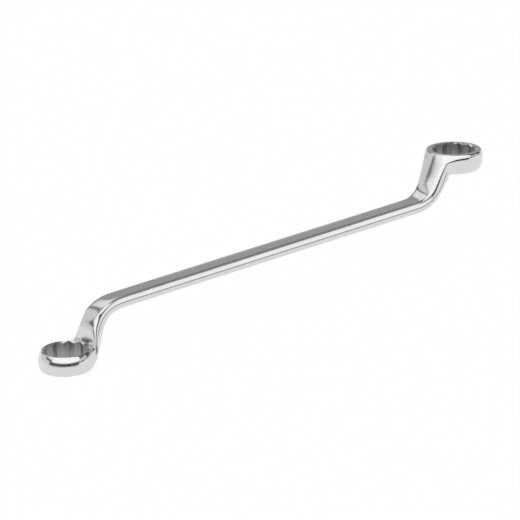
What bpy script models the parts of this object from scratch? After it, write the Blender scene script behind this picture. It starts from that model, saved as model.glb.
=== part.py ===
"""Double-ended deep-offset ring spanner for 20 mm and 22 mm nuts, modelled as the single forging that it is.

X runs along the shank from the small ring to the large one and Z runs along both ring axes. The origin is
the centre of the tool's bounding box. Each end is worked out in one common pose, with its neck rising to +X
and its nut side up. The small end is that pose turned half a turn about Y, so the tool is S-shaped.
"""
import math

import bmesh
import bpy
from mathutils import Vector

# Rings, along and above the shank
RING_CENTRES = 0.277
SMALL_RISE = 0.0210
LARGE_RISE = 0.0204
SMALL_ACROSS_FLATS = 0.020
LARGE_ACROSS_FLATS = 0.022
SMALL_RING_WALL = 0.00195
LARGE_RING_WALL = 0.0035
SMALL_RING_HEIGHT = 0.0096
LARGE_RING_HEIGHT = 0.0110
SMALL_BORE_TURN = math.radians(15)
LARGE_BORE_TURN = math.radians(0)

# Rounding of the rings' edges: small where the nut goes in, and deep on the side of the shank
NUT_SIDE_ROUND = 0.0010
SHANK_SIDE_ROUND = 0.0017
SHANK_SIDE_FALL = 0.0026
LAND = 0.0005

# Entry bevels that lead a nut's corners into the twelve grooves
ENTRY_MARGIN = 0.0001
ENTRY_DEPTH = 0.0010

# Shank at mid length: two flat faces, and sides that swell to the die's parting line
SHANK_WIDTH = 0.0107
SHANK_THICKNESS = 0.0061
SHANK_GROWTH = 0.054
FACE_SHARE = 0.95
STRAIGHT_END = 0.006

# Cranked necks: their section where the bend ends, and where they meet the ring
SMALL_CRANK = math.radians(68)
LARGE_CRANK = math.radians(64.5)
SMALL_BEND_RADIUS = 0.0143
LARGE_BEND_RADIUS = 0.0123
SMALL_NECK_WIDTH = 0.0098
LARGE_NECK_WIDTH = 0.0156
SMALL_NECK_THICKNESS = 0.0074
LARGE_NECK_THICKNESS = 0.0092
NECK_CROWN = 0.0013
SMALL_NECK_ANGLE = math.radians(43.5)
LARGE_NECK_ANGLE = math.radians(30.5)
SMALL_FOOT_INSET = 0.0013
LARGE_FOOT_INSET = 0.0029
SMALL_FOOT_WIDTH = 0.0135
LARGE_FOOT_WIDTH = 0.0162

# Shallow panels sunk into the shank's flat faces
PANEL_START = -0.082
PANEL_END = 0.066
PANEL_WIDTH = 0.0064
PANEL_DEPTH = 0.0003
PANEL_CORNER = 0.0025

# How far every cutter runs past the face that it opens, and how near points are welded into one
OVERRUN = 0.0030
WELD = 0.00005

# Counts of the cage that Subdivision Surface rounds off, and the sharpness of its edges
HALF_COLUMNS = 5
BEND_BANDS = 3
NECK_BANDS = 2
LEVELS = 2
HEX_SIDES = 6
TURNED_SIDES = 48
CORNER_SEGMENTS = 5
FACE_EDGE_CREASE = 0.62
PARTING_CREASE = 0.80
CORE_SHARE = 0.80
CORNER_PROFILE_SHARE = 0.5
FLAT_ANGLE = math.radians(0.5)
SMOOTH_ANGLE = math.radians(35)

small_end = {
    "side": -1,
    "rise": SMALL_RISE,
    "wall": SMALL_RING_WALL,
    "height": SMALL_RING_HEIGHT,
    "across_flats": SMALL_ACROSS_FLATS,
    "turn": SMALL_BORE_TURN,
    "crank": SMALL_CRANK,
    "bend_radius": SMALL_BEND_RADIUS,
    "neck_width": SMALL_NECK_WIDTH,
    "neck_thickness": SMALL_NECK_THICKNESS,
    "neck_angle": SMALL_NECK_ANGLE,
    "foot_inset": SMALL_FOOT_INSET,
    "foot_width": SMALL_FOOT_WIDTH,
}
large_end = {
    "side": 1,
    "rise": LARGE_RISE,
    "wall": LARGE_RING_WALL,
    "height": LARGE_RING_HEIGHT,
    "across_flats": LARGE_ACROSS_FLATS,
    "turn": LARGE_BORE_TURN,
    "crank": LARGE_CRANK,
    "bend_radius": LARGE_BEND_RADIUS,
    "neck_width": LARGE_NECK_WIDTH,
    "neck_thickness": LARGE_NECK_THICKNESS,
    "neck_angle": LARGE_NECK_ANGLE,
    "foot_inset": LARGE_FOOT_INSET,
    "foot_width": LARGE_FOOT_WIDTH,
}


def corner_radius(end):
    """Radius to the bottom of the bore's twelve grooves, where a nut's corners sit."""
    return end["across_flats"] / math.sqrt(3)


def ring_radius(end):
    """Radius of the ring's outside, a wall away from the bottom of the grooves."""
    return corner_radius(end) + end["wall"]


# The bounding box is centred on the origin, so the shank's middle plane lies a little off it
box_centre = Vector((
    (ring_radius(large_end) - ring_radius(small_end)) / 2,
    0,
    (LARGE_RISE + LARGE_RING_HEIGHT / 2 - SMALL_RISE - SMALL_RING_HEIGHT / 2) / 2,
))


def to_tool(end, point):
    """Carries a point from an end's own pose to the tool's frame."""
    return Vector((end["side"] * point[0], point[1], end["side"] * point[2])) - box_centre


def tooth_radius(end):
    """Radius to the tips of the twelve teeth between the grooves."""
    return end["across_flats"] / 2 / math.cos(math.pi / (2 * HEX_SIDES))


def growth(end, x):
    """The shank's sections grow steadily from the small end to the large one."""
    return 1 + end["side"] * SHANK_GROWTH * x / (RING_CENTRES / 2)


def section(width, thickness, crown):
    """Half of the bar's outline as (sideways, upwards) points, from the middle of one face to the other's.

    The upper face is flat on the shank. On the necks it is round, with its edges a crown below its middle.
    """
    widest = width / 2
    face = widest * FACE_SHARE
    top = thickness / 2
    edge = top - crown
    return [
        (0, top),
        (face, edge),
        ((face + widest) / 2, edge / 2),
        (widest, 0),
        ((face + widest) / 2, -top / 2),
        (face, -top),
        (0, -top),
    ]


def bent_sections(end):
    """Stations of the shank's end and the bend: x, z, slope, width, thickness and crown."""
    crank = end["crank"]
    radius = end["bend_radius"]
    half_thick = end["neck_thickness"] / 2
    face_x = RING_CENTRES / 2 - ring_radius(end)
    face_z = end["rise"] + end["height"] / 2 - NUT_SIDE_ROUND
    reach = (face_z - half_thick * math.cos(crank)) / math.sin(crank)
    vertex_x = face_x + half_thick * math.sin(crank) - reach * math.cos(crank)
    start_x = vertex_x - radius * math.tan(crank / 2)
    straight_x = start_x - STRAIGHT_END
    straight = growth(end, straight_x)
    scale = growth(end, start_x)
    sections = [(straight_x, 0, 0, SHANK_WIDTH * straight, SHANK_THICKNESS * straight, 0)]
    for band in range(BEND_BANDS + 1):
        share = band / BEND_BANDS
        slope = crank * share
        x = start_x + radius * math.sin(slope)
        z = radius * (1 - math.cos(slope))
        width = SHANK_WIDTH * scale * (1 - share) + end["neck_width"] * share
        thickness = SHANK_THICKNESS * scale * (1 - share) + end["neck_thickness"] * share
        sections.append((x, z, slope, width, thickness, NECK_CROWN * share))
    return sections


def column_angles(end):
    """Angles of the ring's columns, from the neck's middle plane round to the far side."""
    first = end["neck_angle"]
    rest = (math.pi - first) / (HALF_COLUMNS - 1)
    return [0] + [first + rest * k for k in range(HALF_COLUMNS)]


def cage_stretch(angles, k):
    """How much further out a cage point lies so that the rounded surface has the stated radius."""
    before = angles[1] if k == 0 else angles[k] - angles[k - 1]
    after = math.pi - angles[k - 1] if k == len(angles) - 1 else angles[k + 1] - angles[k]
    return 6 / (4 + math.cos(before) + math.cos(after))


def ring_rows(end):
    """The ring's profile from the nut side's core, over the wall, to the shank side's core."""
    half = end["height"] / 2
    radius = ring_radius(end)
    core = tooth_radius(end) * CORE_SHARE
    part_way = 1 - math.cos(math.pi / 4)
    return [
        (core, half),
        (radius - NUT_SIDE_ROUND - LAND, half),
        (radius - NUT_SIDE_ROUND, half),
        (radius, half - NUT_SIDE_ROUND),
        (radius, 0),
        (radius, SHANK_SIDE_FALL - half),
        (radius - SHANK_SIDE_ROUND * part_way, SHANK_SIDE_FALL * part_way - half),
        (radius - SHANK_SIDE_ROUND, -half),
        (radius - SHANK_SIDE_ROUND - LAND, -half),
        (core, -half),
    ]


# Rows of the ring where the neck joins it, and rows along the bar that stay sharp
WALL_TOP_ROW = 3
FOOT_ROW = 7
INNER_ROW = 1
PARTING_ROW = 3
OUTER_ROW = 5


def ring_points(end):
    """The ring's half cage as rows of points in the end's own pose."""
    angles = column_angles(end)
    grid = []
    for row, (radius, level) in enumerate(ring_rows(end)):
        points = []
        for k, angle in enumerate(angles):
            out = radius * cage_stretch(angles, k)
            x = -out * math.cos(angle)
            y = out * math.sin(angle)
            if row == FOOT_ROW and k in (0, 1):
                x = end["foot_inset"] - ring_radius(end)
            if row == FOOT_ROW and k == 1:
                y = end["foot_width"] / 2
            points.append((RING_CENTRES / 2 + x, y, end["rise"] + level))
        points[0] = (points[0][0], 0, points[0][2])
        points[-1] = (points[-1][0], 0, points[-1][2])
        grid.append(points)
    return grid


def add_end(mesh, end, middle_section, crease):
    """Adds one half of an end to the cage: its ring, bend and neck, joined to the middle of the shank."""
    grid = [[mesh.verts.new(to_tool(end, point)) for point in row] for row in ring_points(end)]
    for row in range(len(grid) - 1):
        in_neck = WALL_TOP_ROW <= row < FOOT_ROW
        for k in range(1 if in_neck else 0, HALF_COLUMNS):
            mesh.faces.new((grid[row][k], grid[row][k + 1], grid[row + 1][k + 1], grid[row + 1][k]))
    mesh.faces.new(grid[0])
    mesh.faces.new(grid[-1])

    sections = [middle_section]
    for x, z, slope, width, thickness, crown in bent_sections(end):
        ring = []
        for sideways, up in section(width, thickness, crown):
            point = (x - up * math.sin(slope), sideways, z + up * math.cos(slope))
            ring.append(mesh.verts.new(to_tool(end, point)))
        sections.append(ring)
    root = [grid[WALL_TOP_ROW][0]] + [grid[row][1] for row in range(WALL_TOP_ROW, FOOT_ROW + 1)]
    root.append(grid[FOOT_ROW][0])
    bend_end = sections[-1]
    for band in range(1, NECK_BANDS):
        share = band / NECK_BANDS
        sections.append([mesh.verts.new(a.co.lerp(b.co, share)) for a, b in zip(bend_end, root)])
    sections.append(root)
    for here, there in zip(sections, sections[1:]):
        for j in range(len(here) - 1):
            mesh.faces.new((here[j], here[j + 1], there[j + 1], there[j]))

    for number, (here, there) in enumerate(zip(sections, sections[1:])):
        on_bend = max(0, number - 1) / BEND_BANDS
        past_bend = max(0, number - BEND_BANDS - 1) / NECK_BANDS
        inner_edge = mesh.edges.get((here[INNER_ROW], there[INNER_ROW]))
        inner_edge[crease] = FACE_EDGE_CREASE * max(0, 1 - on_bend)
        parting = mesh.edges.get((here[PARTING_ROW], there[PARTING_ROW]))
        parting[crease] = PARTING_CREASE * (1 - past_bend)
        outer_edge = mesh.edges.get((here[OUTER_ROW], there[OUTER_ROW]))
        outer_edge[crease] = FACE_EDGE_CREASE * (1 - past_bend)


def build_forging(collection):
    """The whole forging before its bores are broached: a half cage, mirrored across Y and rounded off."""
    mesh = bmesh.new()
    crease = mesh.edges.layers.float.new("crease_edge")
    middle = []
    for sideways, up in section(SHANK_WIDTH, SHANK_THICKNESS, 0):
        middle.append(mesh.verts.new(Vector((0, sideways, up)) - box_centre))
    add_end(mesh, large_end, middle, crease)
    add_end(mesh, small_end, middle[::-1], crease)
    bmesh.ops.recalc_face_normals(mesh, faces=mesh.faces)
    data = bpy.data.meshes.new("ring_spanner_forging")
    mesh.to_mesh(data)
    mesh.free()
    forging = bpy.data.objects.new("ring_spanner_forging", data)
    collection.objects.link(forging)
    mirror = forging.modifiers.new("other half", "MIRROR")
    mirror.use_axis = (False, True, False)
    mirror.use_clip = True
    mirror.merge_threshold = WELD
    rounding = forging.modifiers.new("forged rounding", "SUBSURF")
    rounding.levels = LEVELS
    rounding.render_levels = LEVELS
    flats = forging.modifiers.new("one face for each flat", "DECIMATE")
    flats.decimate_type = "DISSOLVE"
    flats.angle_limit = FLAT_ANGLE
    return forging


def cut(forging, cutter, cutters):
    """Takes a cutter out of the forging and puts it away among the cutters."""
    for home in cutter.users_collection:
        home.objects.unlink(cutter)
    cutters.objects.link(cutter)
    cutter.hide_render = True
    cutter.display_type = "WIRE"
    boolean = forging.modifiers.new(cutter.name, "BOOLEAN")
    boolean.operation = "DIFFERENCE"
    boolean.solver = "EXACT"
    boolean.object = cutter


def turned(name, profile, centre, flip, turn):
    """A turned cutter: its profile of (radius, level) points, spun about an axis through the centre."""
    data = bpy.data.meshes.new(name)
    points = [(radius, 0, level) for radius, level in profile]
    data.from_pydata(points, [(k, k + 1) for k in range(len(points) - 1)], [])
    piece = bpy.data.objects.new(name, data)
    bpy.context.scene.collection.objects.link(piece)
    spin = piece.modifiers.new("spin", "SCREW")
    spin.steps = TURNED_SIDES
    spin.render_steps = TURNED_SIDES
    spin.use_merge_vertices = True
    spin.merge_threshold = WELD
    spin.use_normal_calculate = True
    piece.location = centre
    piece.rotation_euler = (math.pi if flip else 0, 0, turn)
    return piece


def broach(forging, end, name, cutters):
    """Cuts one twelve-point bore: a bevelled mouth at each face, then a prism with twelve grooves."""
    centre = to_tool(end, (RING_CENTRES / 2, 0, end["rise"]))
    half = end["height"] / 2
    mouth = corner_radius(end) + ENTRY_MARGIN
    narrow = tooth_radius(end) * CORE_SHARE
    depth = ENTRY_DEPTH * (mouth - narrow) / (mouth - tooth_radius(end))
    profile = [
        (0, half + OVERRUN),
        (mouth, half + OVERRUN),
        (mouth, half),
        (narrow, half - depth),
        (0, half - depth),
    ]
    for flip in (False, True):
        turn = end["turn"] + math.pi / TURNED_SIDES
        bevel = turned(f"{name}_mouth_{'lower' if flip else 'upper'}", profile, centre, flip, turn)
        cut(forging, bevel, cutters)
    prism = bmesh.new()
    bmesh.ops.create_cone(
        prism,
        cap_ends=True,
        segments=4 * HEX_SIDES,
        radius1=corner_radius(end),
        radius2=corner_radius(end),
        depth=end["height"] + OVERRUN,
    )
    step = math.pi / (2 * HEX_SIDES)
    for corner in prism.verts:
        if round(math.atan2(corner.co.y, corner.co.x) / step) % 2:
            corner.co.xy *= tooth_radius(end) / corner_radius(end)
    data = bpy.data.meshes.new(name)
    prism.to_mesh(data)
    prism.free()
    grooves = bpy.data.objects.new(f"{name}_grooves", data)
    bpy.context.scene.collection.objects.link(grooves)
    grooves.location = centre
    grooves.rotation_euler = (0, 0, end["turn"])
    cut(forging, grooves, cutters)


def sink_panel(forging, face, cutters):
    """Sinks the long shallow panel of one flat face, parallel to that face."""
    length = PANEL_END - PANEL_START
    centre_x = (PANEL_START + PANEL_END) / 2 * face
    fall = SHANK_THICKNESS / 2 * SHANK_GROWTH / (RING_CENTRES / 2)
    surface = SHANK_THICKNESS / 2 + fall * centre_x
    height = PANEL_DEPTH + OVERRUN
    box = bmesh.new()
    bmesh.ops.create_cube(box, size=1)
    bmesh.ops.scale(box, vec=(length, PANEL_WIDTH, height), verts=box.verts)
    upright = [edge for edge in box.edges if abs(edge.verts[0].co.z - edge.verts[1].co.z) > height / 2]
    bmesh.ops.bevel(
        box,
        geom=upright,
        offset=PANEL_CORNER,
        offset_type="OFFSET",
        segments=CORNER_SEGMENTS,
        profile=CORNER_PROFILE_SHARE,
        affect="EDGES",
    )
    data = bpy.data.meshes.new("panel")
    box.to_mesh(data)
    box.free()
    panel = bpy.data.objects.new(f"panel_{'upper' if face > 0 else 'lower'}", data)
    bpy.context.scene.collection.objects.link(panel)
    panel.location = Vector((centre_x, 0, face * (surface - PANEL_DEPTH + height / 2))) - box_centre
    panel.rotation_euler = (0, -face * math.atan(fall), 0)
    cut(forging, panel, cutters)


def chrome():
    """Satin-bright chromium plating over chrome-vanadium steel."""
    material = bpy.data.materials.new("chromium_plate")
    material.use_nodes = True
    shader = material.node_tree.nodes["Principled BSDF"]
    shader.inputs["Base Color"].default_value = (0.62, 0.62, 0.63, 1)
    shader.inputs["Metallic"].default_value = 1
    shader.inputs["Roughness"].default_value = 0.18
    return material


for old in list(bpy.data.objects):
    bpy.data.objects.remove(old, do_unlink=True)

tool = bpy.data.collections.new("ring_spanner")
cutters = bpy.data.collections.new("cutters")
bpy.context.scene.collection.children.link(tool)
bpy.context.scene.collection.children.link(cutters)

forging = build_forging(tool)
sink_panel(forging, 1, cutters)
sink_panel(forging, -1, cutters)
broach(forging, small_end, "small_bore", cutters)
broach(forging, large_end, "large_bore", cutters)
forging.data.materials.append(chrome())
forging.data.shade_smooth()
forging.data.set_sharp_from_angle(angle=SMOOTH_ANGLE)
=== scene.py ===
"""Looks of a deep-offset ring spanner: its plated forging, and the floor, studio and camera round it.

All lengths are in metres. X runs along the shank from the small ring to the large one, and Z along both
ring axes.
"""

import math

import bmesh
import bpy
from mathutils import Matrix, Vector


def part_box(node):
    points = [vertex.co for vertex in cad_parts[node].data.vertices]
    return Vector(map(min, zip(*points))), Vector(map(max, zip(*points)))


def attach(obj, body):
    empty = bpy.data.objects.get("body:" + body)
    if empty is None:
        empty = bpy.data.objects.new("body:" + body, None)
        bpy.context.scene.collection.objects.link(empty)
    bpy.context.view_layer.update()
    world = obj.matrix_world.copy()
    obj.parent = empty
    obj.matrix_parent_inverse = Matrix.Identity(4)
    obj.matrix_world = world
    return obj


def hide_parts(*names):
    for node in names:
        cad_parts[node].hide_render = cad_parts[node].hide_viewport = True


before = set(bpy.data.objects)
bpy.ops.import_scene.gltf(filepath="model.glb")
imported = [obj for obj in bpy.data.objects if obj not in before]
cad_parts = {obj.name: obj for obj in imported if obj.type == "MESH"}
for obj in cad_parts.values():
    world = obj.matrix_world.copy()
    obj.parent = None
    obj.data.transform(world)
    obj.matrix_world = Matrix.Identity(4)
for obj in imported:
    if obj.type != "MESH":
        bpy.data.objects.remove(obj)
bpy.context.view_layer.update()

# Forging. The real spanner is one bar of chrome-vanadium steel, cranked at both ends and struck between
# dies that part along the middle of its sides. Its flash is trimmed there, and the rest is ground and
# polished into flowing edges. The small ring hangs below the shank and the large one stands above it.
RING_CENTRES = 0.277
SHANK_WIDTH = 0.0110
SHANK_THICKNESS = 0.0065
SHANK_GROWTH = 0.054
FACE_SHARE = 0.87
FACET_MIDDLE = 0.4
FACET_RISE = 0.60
STRAIGHT_END = 0.006
FACE_EDGE_BEVEL = 0.0007
PARTING_CREASE = 0.80
BEND_SECTIONS = 3
NECK_SHARES = (0.45, 0.80)

small_end = {
    "side": -1,
    "rise": 0.0210,
    "wall": 0.00195,
    "height": 0.0096,
    "across_flats": 0.020,
    "turn": math.radians(15),
    "crank": math.radians(68),
    "bend_radius": 0.0143,
    "neck_shift": 0.0009,
    "neck_fill": (0, 0),
    "neck_width": 0.0124,
    "neck_thickness": 0.0080,
    "neck_angle": math.radians(43.5),
    "seam_angle": math.radians(39),
    "seam_shift": 0.0010,
    "neck_crown": 0.0008,
    "back_crown": 0.0002,
    "neck_face": 0.84,
    "facet_middle": 0.86,
    "foot_inset": 0.00175,
    "foot_width": 0.0132,
}
large_end = {
    "side": 1,
    "rise": 0.0204,
    "wall": 0.0035,
    "height": 0.0110,
    "across_flats": 0.022,
    "turn": 0.0,
    "crank": math.radians(64.5),
    "bend_radius": 0.0165,
    "neck_shift": 0.0,
    "neck_fill": (0.0010, 0.0022),
    "neck_width": 0.0162,
    "neck_thickness": 0.0092,
    "neck_angle": math.radians(30.5),
    "seam_angle": math.radians(30.5),
    "seam_shift": 0,
    "neck_crown": 0.0006,
    "back_crown": 0.0004,
    "neck_face": 0.74,
    "facet_middle": 0.7,
    "foot_inset": 0.0029,
    "foot_width": 0.0162,
}


def groove_radius(end):
    """A nut's corners turn in the grooves."""
    return end["across_flats"] / math.sqrt(3)


def tooth_radius(end):
    """The teeth of a twelve-point bore lie fifteen degrees off the middles of a nut's flats."""
    return end["across_flats"] / 2 / math.cos(math.radians(15))


def ring_radius(end):
    return groove_radius(end) + end["wall"]


low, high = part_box("ring_spanner_forging")
shank_middle = Vector((
    (low.x + high.x + ring_radius(small_end) - ring_radius(large_end)) / 2,
    0,
    low.z + small_end["rise"] + small_end["height"] / 2,
))


def on_tool(end, point):
    """An end is worked out with its neck rising to +X. The small one is then turned half over about Y."""
    return Vector((end["side"] * point[0], point[1], end["side"] * point[2])) + shank_middle


def shank_form(end, x):
    """The values of half_outline for the shank, which grows towards the large ring."""
    growth = 1 + end["side"] * SHANK_GROWTH * x / (RING_CENTRES / 2)
    return (SHANK_WIDTH * growth, SHANK_THICKNESS * growth, 0, 0, FACE_SHARE, FACET_MIDDLE, 0)


def half_outline(width, thickness, crown, back_crown, face_share, facet_middle, seam_shift):
    """Half of a bar's section, from the middle of one face round the parting line to that of the other.

    Its sides swell to the parting line in two facets, and its faces are crowned on the necks.
    """
    widest = width / 2
    face = widest * face_share
    between = face + (widest - face) * facet_middle
    top = thickness / 2
    edge = top - crown
    back_edge = top - back_crown
    return [
        (0, top),
        (face, edge),
        (between, edge * FACET_RISE),
        (widest, -seam_shift),
        (between, -back_edge * FACET_RISE),
        (face, -back_edge),
        (0, -top),
    ]


PARTING = 3
FACE_EDGES = (PARTING - 2, PARTING + 2)


def bent_bar(end):
    """Stations along the shank's end and round the bend: x, z, slope and half_outline's values."""
    crank = end["crank"]
    radius = end["bend_radius"]
    half_thick = end["neck_thickness"] / 2
    face_x = RING_CENTRES / 2 - ring_radius(end) - end["neck_shift"]
    face_z = end["rise"] + end["height"] / 2 - NUT_SIDE_ROUND
    reach = (face_z - half_thick * math.cos(crank)) / math.sin(crank)
    vertex_x = face_x + half_thick * math.sin(crank) - reach * math.cos(crank)
    start_x = vertex_x - radius * math.tan(crank / 2)
    straight_x = start_x - STRAIGHT_END
    shank = shank_form(end, start_x)
    neck = (
        end["neck_width"],
        end["neck_thickness"],
        end["neck_crown"],
        end["back_crown"],
        end["neck_face"],
        end["facet_middle"],
        end["seam_shift"],
    )
    stations = [(straight_x, 0, 0, *shank_form(end, straight_x))]
    for number in range(BEND_SECTIONS + 1):
        share = number / BEND_SECTIONS
        slope = crank * share
        x = start_x + radius * math.sin(slope)
        z = radius * (1 - math.cos(slope))
        form = [a + (b - a) * share for a, b in zip(shank, neck)]
        stations.append((x, z, slope, *form))
    return stations


# The ring's rows run from the nut side's core over the wall to the shank side's core. Its columns run
# from the neck's middle, where there is no wall, round to the tip.
NUT_SIDE_ROUND = 0.0010
NUT_SIDE_FALL = 0.0020
SHANK_SIDE_ROUND = 0.0017
SHANK_SIDE_FALL = 0.0046
SHOULDER_IN = 0.00038
SHOULDER_FALL = 0.0025
LAND = 0.0005
CORE_SHARE = 0.80
RING_COLUMNS = 5
WALL_TOP_ROW = 3
SHOULDER_ROW = 5
FOOT_ROW = 7
SHOULDER_CREASE = 0.47
FOOT_CREASE = 0.8
NECK_FALLS = {SHOULDER_ROW: 0.0032, SHOULDER_ROW + 1: 0.0018}
NECK_STRETCH = 1.03


def ring_cage(end):
    """The points of the ring's half cage, row by row."""
    half = end["height"] / 2
    radius = ring_radius(end)
    core = tooth_radius(end) * CORE_SHARE
    rows = [
        (core, half),
        (radius - NUT_SIDE_ROUND - LAND, half),
        (radius - NUT_SIDE_ROUND, half),
        (radius, half - NUT_SIDE_FALL),
        (radius, (SHANK_SIDE_FALL - NUT_SIDE_FALL) / 2),
        (radius, SHANK_SIDE_FALL - half),
        (radius - SHOULDER_IN, SHOULDER_FALL - half),
        (radius - SHANK_SIDE_ROUND, -half),
        (radius - SHANK_SIDE_ROUND - LAND, -half),
        (core, -half),
    ]
    first = end["neck_angle"]
    rest = (math.pi - first) / (RING_COLUMNS - 1)
    angles = [0] + [first + rest * k for k in range(RING_COLUMNS)]
    cage = []
    for row, (out, level) in enumerate(rows):
        points = []
        for k, angle in enumerate(angles):
            z = end["rise"] + level
            before = angles[1] if k == 0 else angle - angles[k - 1]
            after = math.pi - angles[k - 1] if k == RING_COLUMNS else angles[k + 1] - angle
            # Subdivision draws each corner in by this much, so the cage is that much larger.
            stretch = 6 / (4 + math.cos(before) + math.cos(after))
            x = -out * stretch * math.cos(angle)
            y = out * stretch * math.sin(angle) if 0 < k < RING_COLUMNS else 0
            if k == 1 and row in NECK_FALLS:
                x = -out * NECK_STRETCH * math.cos(end["seam_angle"])
                y = out * NECK_STRETCH * math.sin(end["seam_angle"])
                z = end["rise"] + NECK_FALLS[row] - half
            if row == FOOT_ROW and k < 2:
                x = end["foot_inset"] - radius
                y = end["foot_width"] / 2 * k
            points.append((RING_CENTRES / 2 + x, y, z))
        cage.append(points)
    return cage


def forge_end(mesh, end, shank_section, crease, bevel, seam):
    """One half of an end: the ring, the bend and the neck, joined to the middle of the shank."""
    cage = [[mesh.verts.new(on_tool(end, point)) for point in row] for row in ring_cage(end)]
    for row, (upper, lower) in enumerate(zip(cage, cage[1:])):
        in_neck = WALL_TOP_ROW <= row < FOOT_ROW
        for k in range(1 if in_neck else 0, RING_COLUMNS):
            mesh.faces.new((upper[k], upper[k + 1], lower[k + 1], lower[k]))
    mesh.faces.new(cage[0])
    mesh.faces.new(cage[-1])
    shoulder = cage[SHOULDER_ROW]
    foot = cage[FOOT_ROW]
    for k in range(1, RING_COLUMNS):
        mesh.edges.get((shoulder[k], shoulder[k + 1]))[crease] = SHOULDER_CREASE
    mesh.edges.get((foot[0], foot[1]))[crease] = FOOT_CREASE

    sections = [shank_section]
    for x, z, slope, *form in bent_bar(end):
        outline = []
        for sideways, up in half_outline(*form):
            point = (x - up * math.sin(slope), sideways, z + up * math.cos(slope))
            outline.append(mesh.verts.new(on_tool(end, point)))
        sections.append(outline)
    root = [cage[WALL_TOP_ROW][0]]
    root += [cage[row][1] for row in range(WALL_TOP_ROW, FOOT_ROW + 1)]
    root.append(foot[0])
    bend_end = sections[-1]
    outwards = on_tool(end, (math.sin(end["crank"]), 0, -math.cos(end["crank"]))) - shank_middle
    for share, fill in zip(NECK_SHARES, end["neck_fill"]):
        section = [mesh.verts.new(a.co.lerp(b.co, share)) for a, b in zip(bend_end, root)]
        for vertex in section[PARTING + 1:]:
            vertex.co += outwards * fill
        sections.append(section)
    sections.append(root)
    for number, (here, there) in enumerate(zip(sections, sections[1:])):
        for j in range(len(here) - 1):
            mesh.faces.new((here[j], here[j + 1], there[j + 1], there[j]))
        on_bend = max(0, number - 1) / BEND_SECTIONS
        past_bend = max(0, number - BEND_SECTIONS - 1) / len(NECK_SHARES)
        mesh.edges.get((here[PARTING], there[PARTING]))[crease] = PARTING_CREASE * (1 - past_bend)
        for j in FACE_EDGES:
            mesh.edges.get((here[j], there[j]))[bevel] = max(0, 1 - on_bend)
        # The parting line is weighted for the plate's painted shade line.
        here[PARTING][seam] = 1


cage = bmesh.new()
crease = cage.edges.layers.float.new("crease_edge")
bevel = cage.edges.layers.float.new("bevel_weight_edge")
# Weights the parting line's points, where the plate paints a dark shade line.
seam = cage.verts.layers.float.new("seam")
middle_outline = half_outline(*shank_form(large_end, 0))
middle = [cage.verts.new(Vector((0, side, up)) + shank_middle) for side, up in middle_outline]
forge_end(cage, large_end, middle, crease, bevel, seam)
forge_end(cage, small_end, middle[::-1], crease, bevel, seam)
bmesh.ops.recalc_face_normals(cage, faces=cage.faces)
cage_mesh = bpy.data.meshes.new("forging_cage")
cage.to_mesh(cage_mesh)
cage.free()
forging = bpy.data.objects.new("forging_cage", cage_mesh)
bpy.context.scene.collection.objects.link(forging)

MIDDLE_WELD = 0.00005
ROUNDING_LEVELS = 3
other_half = forging.modifiers.new("other half", "MIRROR")
other_half.use_axis = (False, True, False)
other_half.use_clip = True
other_half.merge_threshold = MIDDLE_WELD
edges = forging.modifiers.new("ground edges", "BEVEL")
edges.limit_method = "WEIGHT"
edges.offset_type = "OFFSET"
edges.width = FACE_EDGE_BEVEL
edges.segments = 1
rounding = forging.modifiers.new("forged rounding", "SUBSURF")
rounding.levels = ROUNDING_LEVELS
rounding.render_levels = ROUNDING_LEVELS

# Sunk panels. Each flat face of the shank is struck with one long, shallow panel with round corners. Its
# floor is parallel to the face, which tapers with the shank.
PANEL_START = -0.082
PANEL_END = 0.066
PANEL_WIDTH = 0.0064
PANEL_CORNER = 0.0025
PANEL_DEPTH = 0.0003
PANEL_CUTTER = 0.0033
CORNER_STEPS = 8
CUTTER_WELD = 0.00001


def add_node(tree, kind, values=None, **settings):
    """Adds a node, sets its properties, and sets its inputs to values or links them to other sockets."""
    node = tree.nodes.new(kind)
    for name, value in settings.items():
        setattr(node, name, value)
    for name, value in (values or {}).items():
        if isinstance(value, bpy.types.NodeSocket):
            value = [value]
        if isinstance(value, list):
            for source in value:
                tree.links.new(source, node.inputs[name])
        else:
            node.inputs[name].default_value = value
    return node


def new_tree(name, inputs):
    """A geometry tree with a geometry input and the named inputs for its sizes."""
    tree = bpy.data.node_groups.new(name, "GeometryNodeTree")
    tree.interface.new_socket("Geometry", in_out="INPUT", socket_type="NodeSocketGeometry")
    for label, kind in inputs.items():
        tree.interface.new_socket(label, in_out="INPUT", socket_type="NodeSocket" + kind)
    tree.interface.new_socket("Geometry", in_out="OUTPUT", socket_type="NodeSocketGeometry")
    return tree


def run_tree(piece, tree, values):
    """Puts a node tree on a piece as a modifier, and sets its inputs by their sockets' identifiers."""
    modifier = piece.modifiers.new(tree.name, "NODES")
    modifier.node_group = tree
    for socket in tree.interface.items_tree:
        if socket.item_type == "SOCKET" and socket.in_out == "INPUT" and socket.name in values:
            modifier[socket.identifier] = values[socket.name]


def raise_cutter(tree, outline, height):
    """Fills a flat outline and raises it by the height, as a closed block that cuts its shape."""
    base = add_node(tree, "GeometryNodeFillCurve", {"Curve": outline}, mode="NGONS")
    travel = add_node(tree, "ShaderNodeCombineXYZ", {"Z": height})
    raised = add_node(tree, "GeometryNodeExtrudeMesh", {
        "Mesh": base.outputs["Mesh"],
        "Offset": travel.outputs["Vector"],
        "Individual": False,
    })
    underside = add_node(tree, "GeometryNodeFlipFaces", {"Mesh": base.outputs["Mesh"]})
    both = add_node(tree, "GeometryNodeJoinGeometry", {
        "Geometry": [raised.outputs["Mesh"], underside.outputs["Mesh"]],
    })
    closed = add_node(tree, "GeometryNodeMergeByDistance", {
        "Geometry": both.outputs["Geometry"],
        "Distance": CUTTER_WELD,
    })
    return closed.outputs["Geometry"]


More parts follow.
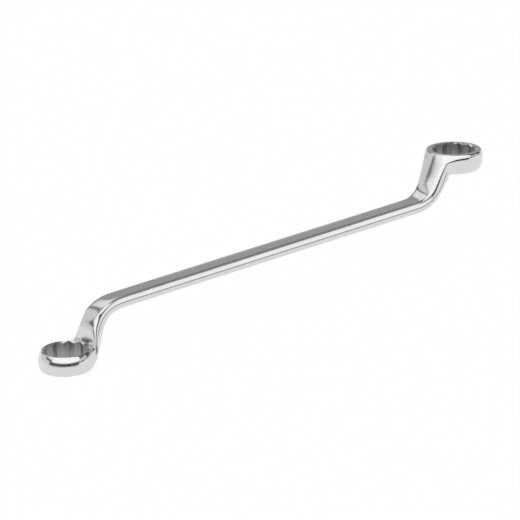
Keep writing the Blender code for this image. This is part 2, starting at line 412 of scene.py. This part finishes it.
panel_tree = new_tree("sunk_panel", {
    "Length": "Float",
    "Width": "Float",
    "Height": "Float",
    "Corner": "Float",
    "Centre": "Vector",
    "Tilt": "Vector",
})
sizes = add_node(panel_tree, "NodeGroupInput").outputs
outline = add_node(panel_tree, "GeometryNodeCurvePrimitiveQuadrilateral", {
    "Width": sizes["Length"],
    "Height": sizes["Width"],
})
rounded = add_node(panel_tree, "GeometryNodeFilletCurve", {
    "Curve": outline.outputs["Curve"],
    "Radius": sizes["Corner"],
    "Count": CORNER_STEPS,
}, mode="POLY")
placed = add_node(panel_tree, "GeometryNodeTransform", {
    "Geometry": raise_cutter(panel_tree, rounded.outputs["Curve"], sizes["Height"]),
    "Translation": sizes["Centre"],
    "Rotation": sizes["Tilt"],
})
sunk = add_node(panel_tree, "GeometryNodeMeshBoolean", {
    "Mesh 1": sizes["Geometry"],
    "Mesh 2": placed.outputs["Geometry"],
}, operation="DIFFERENCE", solver="EXACT")
add_node(panel_tree, "NodeGroupOutput", {"Geometry": sunk.outputs["Mesh"]})

for face in (1, -1):
    fall = SHANK_THICKNESS / 2 * SHANK_GROWTH / (RING_CENTRES / 2)
    centre_x = (PANEL_START + PANEL_END) / 2 * face
    surface = SHANK_THICKNESS / 2 + fall * centre_x
    run_tree(forging, panel_tree, {
        "Length": PANEL_END - PANEL_START,
        "Width": PANEL_WIDTH,
        "Height": PANEL_CUTTER,
        "Corner": PANEL_CORNER,
        "Centre": Vector((centre_x, 0, face * (surface - PANEL_DEPTH))) + shank_middle,
        "Tilt": (0 if face > 0 else math.pi, -face * math.atan(fall), 0),
    })

# Bores. Each ring is broached to twelve points, so that it goes on a nut in steps of thirty degrees. The
# mouths are bevelled first, which leaves a small bright triangle at the end of every tooth.
BORE_POINTS = 12
TURNED_SIDES = 96
OVERRUN = 0.0030
ENTRY_MARGIN = 0.0001
ENTRY_DEPTH = 0.0010
bore_tree = new_tree("twelve_point_bore", {
    "Groove Radius": "Float",
    "Tooth Radius": "Float",
    "Mouth Radius": "Float",
    "Throat Radius": "Float",
    "Bevel Depth": "Float",
    "Ring Height": "Float",
    "Centre": "Vector",
    "Turn": "Float",
})
sizes = add_node(bore_tree, "NodeGroupInput").outputs
star = add_node(bore_tree, "GeometryNodeCurveStar", {
    "Points": BORE_POINTS,
    "Inner Radius": sizes["Tooth Radius"],
    "Outer Radius": sizes["Groove Radius"],
})
broach_length = add_node(bore_tree, "ShaderNodeMath", {
    0: sizes["Ring Height"],
    1: OVERRUN,
}, operation="ADD").outputs["Value"]
half_down = add_node(bore_tree, "ShaderNodeMath", {0: broach_length, 1: -0.5}, operation="MULTIPLY")
lowered = add_node(bore_tree, "ShaderNodeCombineXYZ", {"Z": half_down.outputs["Value"]})
turned = add_node(bore_tree, "ShaderNodeCombineXYZ", {"Z": sizes["Turn"]})
broach = add_node(bore_tree, "GeometryNodeTransform", {
    "Geometry": raise_cutter(bore_tree, star.outputs["Curve"], broach_length),
    "Translation": lowered.outputs["Vector"],
    "Rotation": turned.outputs["Vector"],
})
half_height = add_node(bore_tree, "ShaderNodeMath", {
    0: sizes["Ring Height"],
    1: 0.5,
}, operation="MULTIPLY").outputs["Value"]
bevel_cutter = add_node(bore_tree, "GeometryNodeMeshCone", {
    "Vertices": TURNED_SIDES,
    "Radius Top": sizes["Mouth Radius"],
    "Radius Bottom": sizes["Throat Radius"],
    "Depth": sizes["Bevel Depth"],
})
mouth_cutter = add_node(bore_tree, "GeometryNodeMeshCylinder", {
    "Vertices": TURNED_SIDES,
    "Radius": sizes["Mouth Radius"],
    "Depth": OVERRUN,
})
bevel_foot = add_node(bore_tree, "ShaderNodeMath", {
    0: half_height,
    1: sizes["Bevel Depth"],
}, operation="SUBTRACT")
mouth_middle = add_node(bore_tree, "ShaderNodeMath", {0: half_height, 1: OVERRUN / 2}, operation="ADD")
cutters = [broach.outputs["Geometry"]]
for half_turn in (0, math.pi):
    for cutter, level in ((bevel_cutter, bevel_foot), (mouth_cutter, mouth_middle)):
        lift = add_node(bore_tree, "ShaderNodeCombineXYZ", {"Z": level.outputs["Value"]})
        lifted = add_node(bore_tree, "GeometryNodeTransform", {
            "Geometry": cutter.outputs["Mesh"],
            "Translation": lift.outputs["Vector"],
        })
        faced = add_node(bore_tree, "GeometryNodeTransform", {
            "Geometry": lifted.outputs["Geometry"],
            "Rotation": (half_turn, 0, 0),
        })
        cutters.append(faced.outputs["Geometry"])
placed_cutters = []
for cutter in cutters:
    placed = add_node(bore_tree, "GeometryNodeTransform", {
        "Geometry": cutter,
        "Translation": sizes["Centre"],
    })
    placed_cutters.append(placed.outputs["Geometry"])
cut_ring = add_node(bore_tree, "GeometryNodeMeshBoolean", {
    "Mesh 1": sizes["Geometry"],
    "Mesh 2": placed_cutters,
}, operation="DIFFERENCE", solver="EXACT")
add_node(bore_tree, "NodeGroupOutput", {"Geometry": cut_ring.outputs["Mesh"]})

for end in (small_end, large_end):
    mouth = groove_radius(end) + ENTRY_MARGIN
    throat = tooth_radius(end) * CORE_SHARE
    run_tree(forging, bore_tree, {
        "Groove Radius": groove_radius(end),
        "Tooth Radius": tooth_radius(end),
        "Mouth Radius": mouth,
        "Throat Radius": throat,
        "Bevel Depth": ENTRY_DEPTH * (mouth - throat) / (mouth - tooth_radius(end)),
        "Ring Height": end["height"],
        "Centre": on_tool(end, (RING_CENTRES / 2, 0, end["rise"])),
        "Turn": end["turn"],
    })

# Chromium plate. Bright nickel and a thin layer of chromium over polished steel give the eye a neutral,
# slightly blue-grey mirror, a little hazy in patches of about 17 mm, where the polishing under it shows.
# Along the parting line, where the flash was trimmed, a darker grey is painted in as shade: it stands for
# the dark line that this ridge shows in the chrome.
PLATE_GREY = "dcdcde"
PARTING_SHADE_GREY = "8c8c8e"
PARTING_SHADE_FADES_OUT = 0.82
PARTING_SHADE_IS_FULL = 0.92
HAZE_PATCHES_PER_METRE = 60


def linear(code):
    """Turns an sRGB hex colour such as 8a8a8c into the linear colour that shaders take."""
    shares = [int(code[k:k + 2], 16) / 255 for k in (0, 2, 4)]
    channels = [share / 12.92 if share <= 0.04045 else ((share + 0.055) / 1.055) ** 2.4 for share in shares]
    return (*channels, 1)


plate =bpy.data.materials.new("chromium_plate_and_painted_parting_shade")
plate.use_nodes = True
tree = plate.node_tree
shader = tree.nodes["Principled BSDF"]
shader.inputs["Metallic"].default_value = 1
place = add_node(tree, "ShaderNodeTexCoord").outputs["Object"]
haze = add_node(tree, "ShaderNodeTexNoise", {
    "Vector": place,
    "Scale": HAZE_PATCHES_PER_METRE,
    "Detail": 4,
})
roughness = add_node(tree, "ShaderNodeMapRange", {
    "Value": haze.outputs["Fac"],
    "To Min": 0.12,
    "To Max": 0.20,
})
tree.links.new(roughness.outputs["Result"], shader.inputs["Roughness"])
# Painted shade: the plate is tinted a darker grey along the parting line, where its ridge shows dark in the
# chrome.
parting_shade_attribute = add_node(tree, "ShaderNodeAttribute", attribute_name="seam")
on_parting_shade = add_node(tree, "ShaderNodeMapRange", {
    "Value": parting_shade_attribute.outputs["Fac"],
    "From Min": PARTING_SHADE_FADES_OUT,
    "From Max": PARTING_SHADE_IS_FULL,
})
plate_and_parting_shade = add_node(tree, "ShaderNodeMix", {
    0: on_parting_shade.outputs["Result"],
    6: linear(PLATE_GREY),
    7: linear(PARTING_SHADE_GREY),
}, data_type="RGBA")
tree.links.new(plate_and_parting_shade.outputs[2], shader.inputs["Base Color"])

# Broached bores. The broach leaves fine ridges along its stroke, and the plate is thin inside, so the walls
# are duller and bumped along the ridges.
# Their darker grey is partly that duller steel and partly painted shade of the hollow bore. Their dark and
# pale upright streaks are painted shade and painted highlights, where the ridges catch the light.
# They are drawn about 0.7 mm apart, which is coarser than the real ridges, so that they show.
SHADED_STREAK_GREY = "858587"
LIT_STREAK_GREY = "bcbcbe"
RIDGES_PER_METRE = 1400
RIDGE_HEIGHT = 0.0002
STROKE_STRETCH = 0.06
bore_plate_and_painted_streaks = bpy.data.materials.new("broached_bore_plate_and_painted_streaks")
bore_plate_and_painted_streaks.use_nodes = True
tree = bore_plate_and_painted_streaks.node_tree
shader = tree.nodes["Principled BSDF"]
shader.inputs["Metallic"].default_value = 1
place = add_node(tree, "ShaderNodeTexCoord").outputs["Object"]
upright = add_node(tree, "ShaderNodeMapping", {"Vector": place, "Scale": (1, 1, STROKE_STRETCH)})
ridges_and_painted_streaks = add_node(tree, "ShaderNodeTexNoise", {
    "Vector": upright.outputs["Vector"],
    "Scale": RIDGES_PER_METRE,
    "Detail": 3,
}).outputs["Fac"]
# Painted shade and painted highlight: along the ridges, the wall's colour runs from a shaded grey to a lit
# grey.
painted_streak_light = add_node(tree, "ShaderNodeMix", {
    0: ridges_and_painted_streaks,
    6: linear(SHADED_STREAK_GREY),
    7: linear(LIT_STREAK_GREY),
}, data_type="RGBA")
tree.links.new(painted_streak_light.outputs[2], shader.inputs["Base Color"])
dullness = add_node(tree, "ShaderNodeMapRange", {"Value": ridges_and_painted_streaks, "To Min": 0.30, "To Max": 0.45})
tree.links.new(dullness.outputs["Result"], shader.inputs["Roughness"])
bump = add_node(tree, "ShaderNodeBump", {"Height": ridges_and_painted_streaks, "Strength": 0.4, "Distance": RIDGE_HEIGHT})
tree.links.new(bump.outputs["Normal"], shader.inputs["Normal"])

# Finished spanner. The trees are applied, the bores' walls get their own plate, and the plain mesh takes
# the CAD forging's place.
finish_tree = new_tree("plated_finish", {})
incoming = add_node(finish_tree, "NodeGroupInput").outputs["Geometry"]
real = add_node(finish_tree, "GeometryNodeRealizeInstances", {"Geometry": incoming})
coated = add_node(finish_tree, "GeometryNodeSetMaterial", {
    "Geometry": real.outputs["Geometry"],
    "Material": plate,
})
add_node(finish_tree, "NodeGroupOutput", {"Geometry": coated.outputs["Geometry"]})
run_tree(forging, finish_tree, {})

graph = bpy.context.evaluated_depsgraph_get()
spanner_mesh = bpy.data.meshes.new_from_object(forging.evaluated_get(graph))
spanner_mesh.name = "plated_spanner"
spanner = bpy.data.objects.new("plated_spanner", spanner_mesh)
bpy.context.scene.collection.objects.link(spanner)
bpy.data.objects.remove(forging, do_unlink=True)
spanner_mesh.materials.clear()
spanner_mesh.materials.append(plate)
spanner_mesh.materials.append(bore_plate_and_painted_streaks)
PLATE_SLOT = 0
BORE_SLOT = 1
UPRIGHT_LIMIT = 0.1
for face in spanner_mesh.polygons:
    face.material_index = PLATE_SLOT
    for end in (small_end, large_end):
        from_axis = face.center - on_tool(end, (RING_CENTRES / 2, 0, end["rise"]))
        inside = math.hypot(from_axis.x, from_axis.y) < groove_radius(end)
        if inside and abs(face.normal.z) < UPRIGHT_LIMIT:
            face.material_index = BORE_SLOT
SHARP_FROM = math.radians(30)
spanner_mesh.shade_smooth()
spanner_mesh.set_sharp_from_angle(angle=SHARP_FROM)
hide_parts("ring_spanner_forging")
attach(spanner, "root")

# Floor. A plain sheet of white paper that the small ring stands on. The camera and the chrome see it as
# evenly lit paper, and it keeps the tool's soft shadow.
FLOOR_REACH = 1.0
SEEN_WHITE = 0.985
MIRRORED_WHITE = 0.88
floor_mesh = bpy.data.meshes.new("floor")
corners = [(-1, -1), (1, -1), (1, 1), (-1, 1)]
floor_mesh.from_pydata(
    [(x * FLOOR_REACH, y * FLOOR_REACH, low.z) for x, y in corners],
    [],
    [(0, 1, 2, 3)],
)
floor = bpy.data.objects.new("floor", floor_mesh)
bpy.context.scene.collection.objects.link(floor)
paper = bpy.data.materials.new("white_paper")
paper.use_nodes = True
tree = paper.node_tree
tree.nodes.clear()
matt = add_node(tree, "ShaderNodeBsdfDiffuse", {"Color": linear("f4f4f4")})
glow = add_node(tree, "ShaderNodeEmission", {"Color": (1, 1, 1, 1), "Strength": 1})
path = add_node(tree, "ShaderNodeLightPath").outputs
mirrored = add_node(tree, "ShaderNodeMath", {
    0: path["Is Glossy Ray"],
    1: MIRRORED_WHITE,
}, operation="MULTIPLY")
whiteness = add_node(tree, "ShaderNodeMath", {
    0: path["Is Camera Ray"],
    1: SEEN_WHITE,
    2: mirrored.outputs["Value"],
}, operation="MULTIPLY_ADD")
mixed = add_node(tree, "ShaderNodeMixShader", {
    0: whiteness.outputs["Value"],
    1: matt.outputs["BSDF"],
    2: glow.outputs["Emission"],
})
add_node(tree, "ShaderNodeOutputMaterial", {"Surface": mixed.outputs["Shader"]})
floor_mesh.materials.append(paper)

# Studio. Chrome shows the whole room, so the world draws it: a white sweep behind the tool with grey above
# it, soft boxes overhead, to the left, over the camera and low on the right, and a dark room behind the
# camera. A bearing starts at the camera's side and runs to its right. A height is over the horizon.
VIEW_BEARING = math.radians(42.958)
DARK_ROOM = 0.06
world = bpy.data.worlds.new("studio")
bpy.context.scene.world = world
world.use_nodes = True
tree = world.node_tree
tree.nodes.clear()
heading = add_node(tree, "ShaderNodeTexCoord").outputs["Generated"]
nearness = add_node(tree, "ShaderNodeVectorMath", {
    0: heading,
    1: (-math.sin(VIEW_BEARING), -math.cos(VIEW_BEARING), 0),
}, operation="DOT_PRODUCT")
rightness = add_node(tree, "ShaderNodeVectorMath", {
    0: heading,
    1: (math.cos(VIEW_BEARING), -math.sin(VIEW_BEARING), 0),
}, operation="DOT_PRODUCT")
swing = add_node(tree, "ShaderNodeMath", {
    0: rightness.outputs["Value"],
    1: nearness.outputs["Value"],
}, operation="ARCTAN2")
bearing = add_node(tree, "ShaderNodeMath", {0: swing.outputs["Value"]}, operation="DEGREES").outputs["Value"]
upness = add_node(tree, "ShaderNodeSeparateXYZ", {"Vector": heading})
climb = add_node(tree, "ShaderNodeMath", {0: upness.outputs["Z"]}, operation="ARCSINE")
height = add_node(tree, "ShaderNodeMath", {0: climb.outputs["Value"]}, operation="DEGREES").outputs["Value"]


def hang_box(tree, under, bearings, heights, soft, strength):
    """Lays a soft-edged box between two bearings and two heights over what is there already."""
    middle = (bearings[0] + bearings[1]) / 2
    half = (bearings[1] - bearings[0]) / 2
    off = add_node(tree, "ShaderNodeMath", {0: bearing, 1: middle}, operation="SUBTRACT")
    wrapped = add_node(tree, "ShaderNodeMath", {
        0: off.outputs["Value"],
        1: 180,
        2: -180,
    }, operation="WRAP")
    aside = add_node(tree, "ShaderNodeMath", {0: wrapped.outputs["Value"]}, operation="ABSOLUTE")
    shares = []
    for value, outside, inside in (
        (height, heights[0] - soft, heights[0] + soft),
        (height, heights[1] + soft, heights[1] - soft),
        (aside.outputs["Value"], half + soft, half - soft),
    ):
        share = add_node(tree, "ShaderNodeMapRange", {
            "Value": value,
            "From Min": outside,
            "From Max": inside,
        }, interpolation_type="SMOOTHSTEP")
        shares.append(share.outputs["Result"])
    tall = add_node(tree, "ShaderNodeMath", {0: shares[0], 1: shares[1]}, operation="MULTIPLY")
    shape = add_node(tree, "ShaderNodeMath", {0: tall.outputs["Value"], 1: shares[2]}, operation="MULTIPLY")
    return add_node(tree, "ShaderNodeMix", {
        0: shape.outputs["Value"],
        2: under,
        3: strength,
    }, data_type="FLOAT").outputs[0]


# Each box has its bearings, its heights and the softness of its edges in degrees, and its strength.
studio_boxes = (
    ((90, 270), (-90, 9), 3, 1.0),
    ((128, 224), (9, 33), 3, 0.48),
    ((80, 175), (33, 80), 4, 0.29),
    ((175, 228), (36, 86), 3, 1.25),
    ((236, 263), (16, 86), 2, 1.0),
    ((221, 292), (-8, 17), 2, 1.0),
    ((-93, -58), (26, 87), 2, 1.4),
    ((-60, 72), (17, 87), 2, 1.6),
    ((57, 108), (-12, 6), 3, 1.6),
    ((64, 108), (13, 24), 2, 1.0),
)
light = DARK_ROOM
for studio_box in studio_boxes:
    light = hang_box(tree, light, *studio_box)
room = add_node(tree, "ShaderNodeBackground", {"Strength": light})
white = add_node(tree, "ShaderNodeBackground", {"Color": (1, 1, 1, 1), "Strength": 1})
path = add_node(tree, "ShaderNodeLightPath").outputs
mixed = add_node(tree, "ShaderNodeMixShader", {
    0: path["Is Camera Ray"],
    1: room.outputs["Background"],
    2: white.outputs["Background"],
})
add_node(tree, "ShaderNodeOutputWorld", {"Surface": mixed.outputs["Shader"]})

# Camera. It looks from the left and the front, a little down, and leans slightly, as the photograph does.
# Its angles, distance and focal length come from fitting the tool's outline and edges to the photograph.
ELEVATION = math.radians(18.224)
ROLL = math.radians(-1.508)
DISTANCE = 1.05729
FOCAL_PIXELS = 2045.10
IMAGE_PIXELS = 520
SENSOR_MM = 36
AIM = Vector((-0.00773, 0.00487, -0.00519))
back = Vector((
    -math.sin(VIEW_BEARING) * math.cos(ELEVATION),
    -math.cos(VIEW_BEARING) * math.cos(ELEVATION),
    math.sin(ELEVATION),
))
level_right = Vector((math.cos(VIEW_BEARING), -math.sin(VIEW_BEARING), 0))
level_up = back.cross(level_right)
right = math.cos(ROLL) * level_right + math.sin(ROLL) * level_up
up = math.cos(ROLL) * level_up - math.sin(ROLL) * level_right
camera_data = bpy.data.cameras.new("camera")
camera_data.sensor_width = SENSOR_MM
camera_data.lens = FOCAL_PIXELS / IMAGE_PIXELS * SENSOR_MM
camera = bpy.data.objects.new("camera", camera_data)
bpy.context.scene.collection.objects.link(camera)
turn = Matrix((right, up, back)).transposed().to_4x4()
camera.matrix_world = Matrix.Translation(AIM + back * DISTANCE) @ turn
bpy.context.scene.camera = camera

bpy.context.scene.view_settings.view_transform = "Standard"
